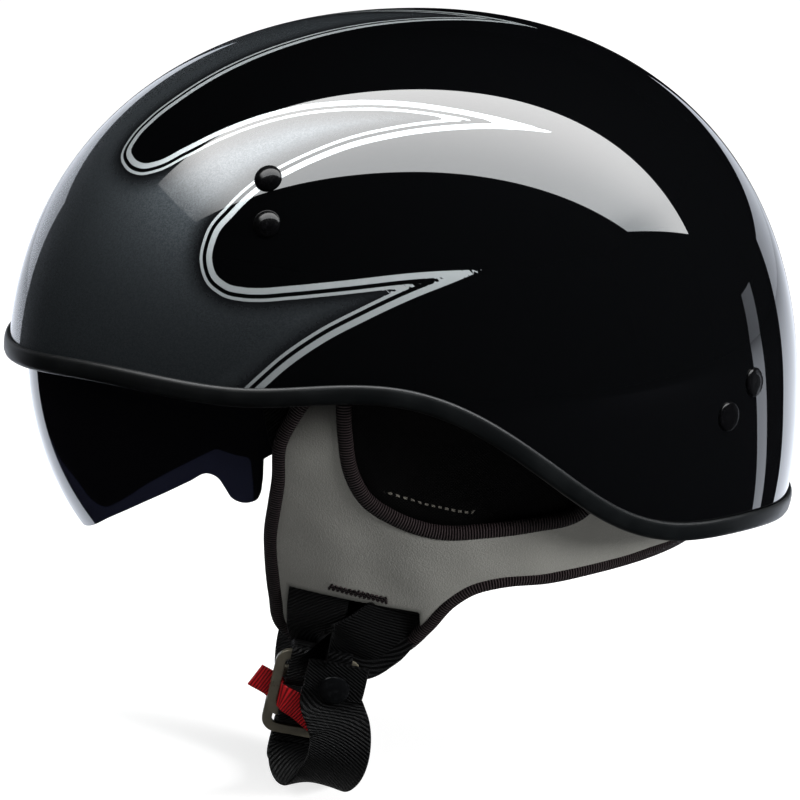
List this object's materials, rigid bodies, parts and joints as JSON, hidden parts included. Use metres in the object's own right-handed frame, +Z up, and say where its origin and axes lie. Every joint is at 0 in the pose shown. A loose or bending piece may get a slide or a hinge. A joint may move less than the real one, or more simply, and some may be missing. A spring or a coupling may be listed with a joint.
{
  "type": "half shell motorcycle helmet",
  "caption": "Half shell motorcycle helmet with a drop-down smoke shield inside the brow, a padded neck curtain and a double ring chin strap with a snapped tail.",
  "frame": {"origin": "the middle of the head, where the long, cross and vertical axes of the shell's dome meet", "axes": "the wearer looks along -X, +Y is the wearer's right, +Z is up"},
  "size_m": [0.2886, 0.2324, 0.2863],
  "materials": {
    "shell_paint": "gloss black over charcoal metallic, clear coated",
    "trim_rubber": "satin",
    "liner_foam": "moulded bead foam, matt",
    "pad_cloth": "brushed knit",
    "smoke_shield": "gloss, smoke tint",
    "black_rivet": "gloss black",
    "plated_steel": "zinc plated",
    "nylon": "satin",
    "grey_leather": "fine grain, satin",
    "binding_tape": "woven tape",
    "webbing": "ribbed weave",
    "satin_nickel": "satin nickel plate",
    "black_snap": "black enamel",
    "red_ribbon": "ribbed weave"
  },
  "bodies": {
    "helmet": {"outer_shell": "shell_paint", "edge_trim": "trim_rubber", "impact_liner": "liner_foam", "crown_pad": "pad_cloth", "brow_pad": "pad_cloth", "nape_pad": "pad_cloth", "temple_rivets": "black_rivet", "nape_rivets": "black_rivet", "temple_washers": "plated_steel", "ring_loop": "webbing", "ring_upper": "satin_nickel", "ring_lower": "satin_nickel", "chin_strap": "webbing", "snap_stud": "satin_nickel", "pull_tab": "red_ribbon", "side_pad_left": "pad_cloth", "side_pad_right": "pad_cloth", "hinge_plate_left": "plated_steel", "hinge_plate_right": "plated_steel", "pivot_pin_left": "plated_steel", "pivot_pin_right": "plated_steel", "pivot_washer_left": "nylon", "pivot_washer_right": "nylon", "nape_anchor_left": "plated_steel", "nape_anchor_right": "plated_steel", "neck_curtain_left": "grey_leather", "neck_curtain_right": "grey_leather", "curtain_binding_left": "binding_tape", "curtain_binding_right": "binding_tape", "ear_binding_left": "binding_tape", "ear_binding_right": "binding_tape", "ear_lining_left": "pad_cloth", "ear_lining_right": "pad_cloth", "front_leg_left": "webbing", "front_leg_right": "webbing", "rear_leg_left": "webbing", "rear_leg_right": "webbing", "strap_yoke_left": "webbing", "strap_yoke_right": "webbing"},
    "shield": {"shield": "smoke_shield"},
    "snap": {"strap_tail": "webbing", "snap_socket": "satin_nickel", "snap_cap": "black_snap"}
  },
  "joints": [
    {"name": "shield_pivot", "type": "hinge", "parent": "helmet", "child": "shield", "pos_m": [-0.027, 0, 0.012], "axis": [0, 1, 0], "range_deg": [0, 36]},
    {"name": "tail_snap", "type": "slide", "parent": "helmet", "child": "snap", "axis": [0, -0.9781, -0.2079], "range_m": [0, 0.005]}
  ]
}
